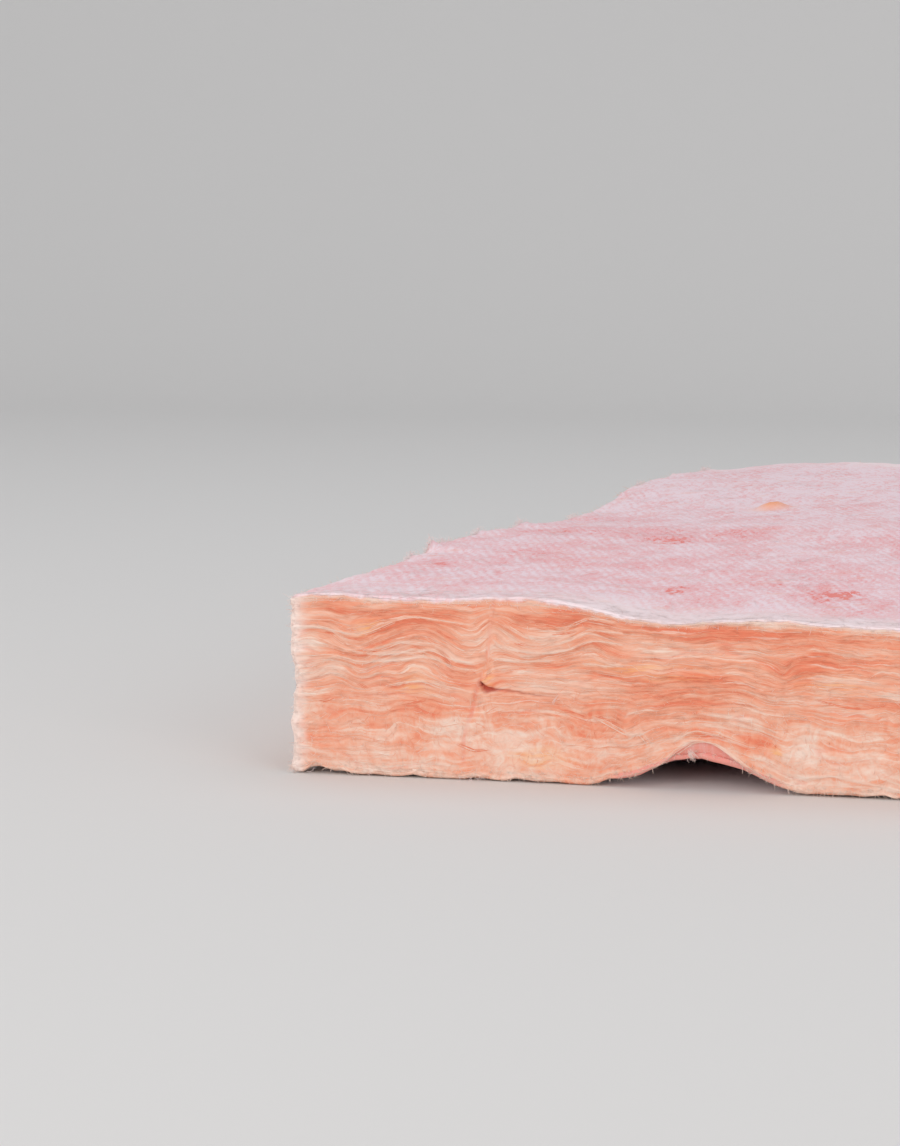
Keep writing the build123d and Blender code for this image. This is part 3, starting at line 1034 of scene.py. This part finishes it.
def fold(tree, line, radius, tone, knots=24):
    """A fold of the near end, as a bundle of three fibres that lie on its line."""
    line = np.array(line, float)
    t = np.concatenate([[0], np.cumsum(np.hypot(*np.diff(line, axis=0).T))])
    soft = [np.interp(np.linspace(0, t[-1], knots), t, line[:, n]) for n in range(2)]
    for _ in range(2):
        soft = [np.concatenate([v[:1], (v[:-2] + 2 * v[1:-1] + v[2:]) / 4, v[-1:]]) for v in soft]
    x = np.tile(soft[0] - HALF_X, (3, 1)) + normal(0, 1.5, (3, 1))
    z = np.tile(soft[1], (3, 1)) + wander(3, knots, 0.18) + np.array([[-0.35], [0], [0.35]])
    x, y = on_face("near", x)
    points, out, _ = surface(x, y, box_height(x, y, z))
    points = pressed(points, out, tree) + out * (0.3 * radius)
    return points, np.array([0.6, 1, 0.6]) * radius, np.full(3, tone), np.zeros(3), out


# Build

# Wisps along the edges of the upper skin: x, y, height and number of fibres
wisps = (
    (-HALF_X + 1, -371, 3.2, 50), (-HALF_X + 1, -325, 4, 60), (-HALF_X + 2, -290, 3, 50),
    (-HALF_X + 1, -212, 3.6, 50), (-HALF_X + 2, -108, 3.6, 50), (-HALF_X + 2, 60, 3.4, 40),
    (-HALF_X + 2, 300, 3.4, 40), (-HALF_X + 5, 560, 3.6, 50), (HALF_X - 1, -200, 3.6, 50),
    (HALF_X - 1, 330, 3.6, 50),
)
# Short hairs of the near end: number, knots, lengths, radii, where they grow, paleness with painted glow,
# and tone
near_naps = (
    (1100, 4, (0.8, 2.4), (0.07, 0.12), (0, 1, 0, 1), 0.15, 0),
    (900, 5, (1, 3.2), (0.07, 0.11), (0, 1, 0.96, 1), 0.35, -0.2),
    (400, 5, (0.8, 2.8), (0.08, 0.14), (0, 0.012, 0, 1), 0.1, -0.3),
    (300, 5, (1.2, 4.5), (0.08, 0.14), (0.988, 1, 0, 1), 0.1, -0.3),
    # The paler hairs at the foot are painted light, lifting the shade near the floor
    (1500, 5, (1, 3.2), (0.08, 0.14), (0, 1, 0, 0.05), 0, -0.25),
)
# Curls at the near end's foot: s, height, heading in x and up, length and turns
foot_curls = (
    (92, 3, -0.2, -0.25, 9, 1.5),
    (95, 2, 0.3, -0.1, 11, 2),
    (100, 3, 0.1, -0.2, 8, 1.2),
    (104, 2, -0.4, 0, 7, 1),
    (12, 3, -0.5, -0.1, 7, 1),
)
# Bunches of hairs at the split, in the hollow and at the foot's left end: s, height, heading, length,
# size of their bend, number and spread
bunches = (
    (140, 42.5, (0.55, -0.12, 0.85), 4.6, 0.5, 7, 0.25),
    (211.5, 20.5, (0.5, -0.15, -0.75), 6, 0.5, 22, 0.8),
    (40, 2.5, (0.3, -0.6, -0.2), 4, 0.6, 6, 1),
)


def loose_curls():
    """The long curls and the bunches of hairs at the near end."""
    curls = []
    for s, z, to_x, up, length, turns in foot_curls:
        curls.append(curl((s - HALF_X, -HALF_Y + 1, z), (to_x, -0.8, up), length, turns, 0.9, 0.1, 0.8))
    for s, z, heading, length, size, count, spread in bunches:
        for _ in range(count):
            start = np.array([s - HALF_X, -HALF_Y + 0.2, z]) + normal(0, spread, 3)
            way = np.array(heading) + normal(0, 0.12, 3)
            curls.append(curl(start, way, length * uniform(0.6, 1), 0.5, size, 0.12, 0.35))
    return curls


def build():
    """The body and its fibres. A call for fibres gives their number, their knots, lengths and radii."""
    wool, fibre = wool_material(), fibre_material()
    body = body_mesh(wool)
    pieces = [body]
    bpy.context.view_layer.update()
    tree = BVHTree.FromObject(body, bpy.context.evaluated_depsgraph_get())

    def add(name, groups, squash=(1, 1, 1)):
        pieces.append(fibres(name, groups, fibre, squash))

    folds = [fold(tree, line, uniform(0.2, 0.32), 0.2) for line in pale_folds]
    folds += [fold(tree, line, 0.3, 0.95, 12) for line in deep_folds]
    add("near_end_fibres", [laid(tree, "near", 3300, 10, (12, 50), (0.1, 0.22)), *folds], (1, 0.2, 1))
    add("near_end_felt", [felt(tree, 5200, 6, (2.5, 10), (0.08, 0.14))], (1, 0.25, 1))
    add("near_end_nap", [nap("near", *hairs) for hairs in near_naps])
    for side in ("left", "right"):
        strands = [laid(tree, side, 1300, 8, (20, 90), (0.2, 0.4))]
        strands.append(nap(side, 1800, 4, (1, 4), (0.09, 0.15)))
        strands.append(nap(side, 900, 5, (1, 4.5), (0.08, 0.13), (0, 1, 0.95, 1)))
        add(side + "_side_fibres", strands, (0.3, 1, 1))
    strands = [laid(tree, "far", 800, 8, (14, 60), (0.2, 0.36))]
    strands.append(nap("far", 1100, 4, (1, 3.5), (0.09, 0.15)))
    add("far_end_fibres", strands, (1, 0.3, 1))
    add("upper_skin_fibres", [web(1900, 8, (8, 30), (0.08, 0.14))], (1, 1, 0.35))
    standing = [nap("upper", 2000, 4, (0.8, 2.2), (0.07, 0.12), paleness_and_glow=0.6)]
    add("upper_skin_nap", standing + [tuft(*wisp) for wisp in wisps])
    add("loose_curls", loose_curls())
    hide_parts(NODE)
    for piece in pieces:
        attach(piece, "root")


# The room, in metres

FLOOR_NEAR, FLOOR_FAR, FLOOR_HALF = -4, 3, 7
SWEEP, WALL_TOP = 1.6, 6  # radius of the floor's sweep up into the wall, and the wall's height
FLOOR_GAP = 0.2 * MM  # how far the floor lies under the batt
# Lights: place, what they aim at, size, power and colour
lights = (
    ("key", (-1.1, -3.9, 1.5), (0, -0.5, 0), 1.6, 34, (1, 0.97, 0.94)),
    ("edge", (-2.3, -1.5, 0.7), (-0.2, -0.5, 0), 1.2, 6, (1, 0.98, 0.96)),
    ("fill", (2.4, -3.2, 1.1), (0, -0.4, 0), 2, 26, (1, 0.97, 0.95)),
    ("sky", (0.2, 0.4, 3.2), (0, 0, 0), 3.2, 15, (0.95, 0.96, 1)),
)
# The camera, at the photo's viewing angle
CAMERA_PLACE = (0.299, -2.171, 0.276)
LOOKS_DOWN, LEANS, LOOKS_LEFT = 5.8, -0.07, 15.1  # degrees
SENSOR = 36  # millimetres, along the picture's height
PHOTO_HEIGHT, PHOTO_FOCUS = 1146, 3200  # pixels: the photo's height and its focal length


def stage():
    """A pale floor that sweeps up behind the batt, soft lights and the camera."""
    paint = Shader("pale_floor", specular=0.5)
    paint.bsdf.inputs["Base Color"].default_value = FLOOR_GREY
    paint.bsdf.inputs["Roughness"].default_value = 0.9
    rows = [(FLOOR_NEAR, 0), (FLOOR_FAR, 0)]
    for a in np.linspace(0.1, np.pi / 2, 14):
        rows.append((FLOOR_FAR + SWEEP * np.sin(a), SWEEP * (1 - np.cos(a))))
    rows.append((FLOOR_FAR + SWEEP, WALL_TOP))
    points = np.array([(x, y, z - FLOOR_GAP) for y, z in rows for x in (-FLOOR_HALF, FLOOR_HALF)]) / MM
    n = np.arange(len(rows) - 1) * 2
    floor = mesh_object("floor", points, [np.stack([n, n + 1, n + 3, n + 2], -1)], {}, paint.material)

    scene = bpy.context.scene
    world = bpy.data.worlds.new("soft_room")
    world.use_nodes = True
    sky = world.node_tree.nodes["Background"].inputs
    sky["Color"].default_value, sky["Strength"].default_value = (0.97, 0.98, 1, 1), 0.66
    scene.world = world
    for name, spot, aim, size, power, colour in lights:
        light = bpy.data.lights.new(name, "AREA")
        light.shape, light.size, light.energy, light.color = "DISK", size, power, colour
        lamp = bpy.data.objects.new(name, light)
        lamp.location = spot
        lamp.rotation_euler = (Vector(aim) - Vector(spot)).to_track_quat("-Z", "Y").to_euler()
        scene.collection.objects.link(lamp)

    camera = bpy.data.objects.new("camera", bpy.data.cameras.new("camera"))
    camera.data.sensor_width = SENSOR
    camera.data.lens = SENSOR * PHOTO_FOCUS / PHOTO_HEIGHT
    camera.data.clip_end = 50
    camera.location = CAMERA_PLACE
    camera.rotation_euler = (radians(90 - LOOKS_DOWN), radians(LEANS), radians(LOOKS_LEFT))
    scene.collection.objects.link(camera)
    scene.camera = camera
    scene.view_settings.view_transform = "Standard"


build()
stage()
